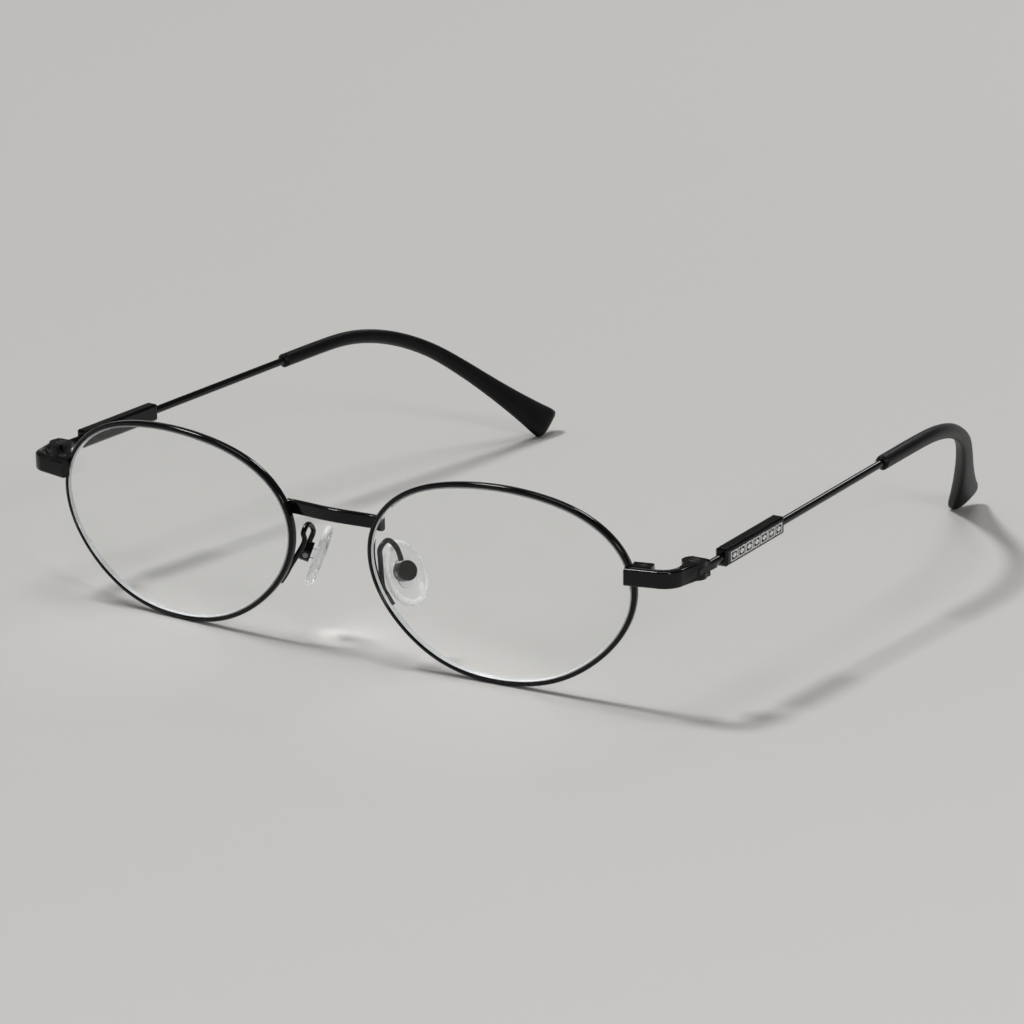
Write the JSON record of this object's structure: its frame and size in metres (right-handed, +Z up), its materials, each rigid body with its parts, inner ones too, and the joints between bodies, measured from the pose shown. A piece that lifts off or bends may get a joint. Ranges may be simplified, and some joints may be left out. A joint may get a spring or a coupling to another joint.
{
  "type": "oval eyeglasses",
  "caption": "Oval wire eyeglasses with clear lenses, a flat bridge, adjustable silicone nose pads, slotted hinges, a decorated block on each temple and bent plastic temple tips.",
  "frame": {"origin": "centre of the part's bounding box, on the surface that the rims and the temple tips rest on", "axes": "+X towards the wearer's left, +Y from the lenses back along the temples, +Z up"},
  "size_m": [0.1362, 0.1521, 0.0356],
  "materials": {
    "black_frame": "glossy black lacquer on metal wire",
    "dark_screw": "blackened steel screws",
    "silver": "bright silver relief with dark ground",
    "clear_insert": "clear nylon insert seen through the pad",
    "black_tip": "satin black acetate",
    "clear_lens": "clear, coated",
    "clear_silicone": "clear silicone, slightly cloudy"
  },
  "bodies": {
    "front": {"bridge": "black_frame", "rim_left": "black_frame", "rim_right": "black_frame", "lens_left": "clear_lens", "lens_right": "clear_lens", "closing_block_upper_left": "black_frame", "closing_block_upper_right": "black_frame", "closing_block_lower_left": "black_frame", "closing_block_lower_right": "black_frame", "closing_screw_left": "dark_screw", "closing_screw_right": "dark_screw", "end_piece_left": "black_frame", "end_piece_right": "black_frame", "hinge_screw_left": "dark_screw", "hinge_screw_right": "dark_screw", "pad_arm_left": "black_frame", "pad_arm_right": "black_frame", "pad_box_left": "black_frame", "pad_box_right": "black_frame", "pad_screw_left": "dark_screw", "pad_screw_right": "dark_screw"},
    "temple_left": {"temple_tongue_left": "black_frame", "temple_block_left": "black_frame", "ornament_left": "silver", "temple_wire_left": "black_frame", "temple_tip_left": "black_tip"},
    "temple_right": {"temple_tongue_right": "black_frame", "temple_block_right": "black_frame", "ornament_right": "silver", "temple_wire_right": "black_frame", "temple_tip_right": "black_tip"},
    "pad_left": {"pad_core_left": "clear_insert", "nose_pad_left": "clear_silicone"},
    "pad_right": {"pad_core_right": "clear_insert", "nose_pad_right": "clear_silicone"}
  },
  "joints": [
    {"name": "temple_left_fold", "type": "hinge", "parent": "front", "child": "temple_left", "pos_m": [0.0658, -0.06407, 0.02377], "axis": [0, -0.0406, 0.9992], "range_deg": [0, 86]},
    {"name": "temple_right_fold", "type": "hinge", "parent": "front", "child": "temple_right", "pos_m": [-0.0658, -0.06407, 0.02377], "axis": [0, 0.0406, -0.9992], "range_deg": [0, 75]},
    {"name": "pad_left_rock", "type": "hinge", "parent": "front", "child": "pad_left", "pos_m": [0.01038, -0.06668, 0.01471], "axis": [0.4035, 0.8911, 0.2076], "range_deg": [-7, 7]},
    {"name": "pad_right_rock", "type": "hinge", "parent": "front", "child": "pad_right", "pos_m": [-0.01038, -0.06668, 0.01471], "axis": [-0.4035, 0.8911, 0.2076], "range_deg": [-7, 7]}
  ]
}
